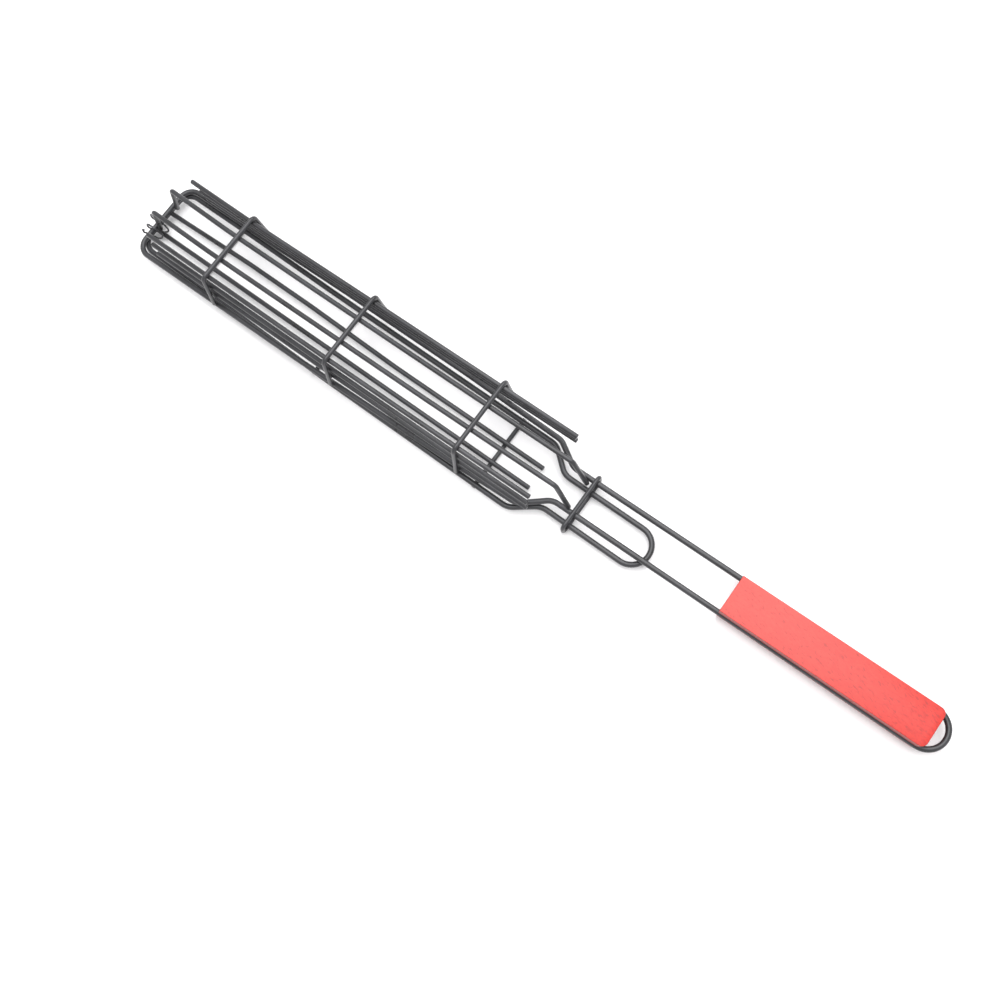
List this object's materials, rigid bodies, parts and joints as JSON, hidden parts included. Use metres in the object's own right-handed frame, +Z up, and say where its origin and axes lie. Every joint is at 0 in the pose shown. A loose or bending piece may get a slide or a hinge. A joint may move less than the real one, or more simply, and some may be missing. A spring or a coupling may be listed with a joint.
{
  "type": "hinged wire roasting basket",
  "caption": "Long hinged wire roasting basket with a deep trough, a flat wire lid, a sliding lock ring, a painted wooden grip and a wire hanging loop.",
  "frame": {"origin": "middle of the fork's footprint, on the table it lies on", "axes": "+X from the hinged end of the basket to the hanging loop, +Y to the far side, +Z up out of the trough's top"},
  "size_m": [0.493, 0.0522, 0.0342],
  "materials": {
    "coated_wire": "dark non-stick coating, semi-gloss",
    "hinge_wire": "bare steel wire, slightly dulled",
    "stained_wood": "red stain with a satin lacquer, open grain"
  },
  "bodies": {
    "lower_grid": {"lid_frame_wire": "coated_wire", "lid_long_wire_far": "coated_wire", "lid_long_wire_near": "coated_wire", "lid_cross_wire_1": "coated_wire", "lid_cross_wire_2": "coated_wire", "lid_cross_wire_3": "coated_wire", "hinge_coil": "hinge_wire"},
    "upper_basket": {"main_frame_wire": "coated_wire", "basket_rib_1": "coated_wire", "basket_rib_2": "coated_wire", "basket_rib_3": "coated_wire", "corner_wire_far": "coated_wire", "corner_wire_near": "coated_wire", "upper_wall_wire_far": "coated_wire", "upper_wall_wire_near": "coated_wire", "lower_wall_wire_far": "coated_wire", "lower_wall_wire_near": "coated_wire", "support_wire_far": "coated_wire", "support_wire_near": "coated_wire", "wooden_grip": "stained_wood"},
    "lock_ring": {"lock_ring": "coated_wire"}
  },
  "joints": [
    {"name": "basket_hinge", "type": "hinge", "parent": "lower_grid", "child": "upper_basket", "pos_m": [-0.24009, 0.00068, 0.0074], "axis": [0, -1, 0], "range_deg": [0, 110]},
    {"name": "ring_slide", "type": "slide", "parent": "upper_basket", "child": "lock_ring", "axis": [1, 0, 0], "range_m": [0, 0.08]}
  ]
}
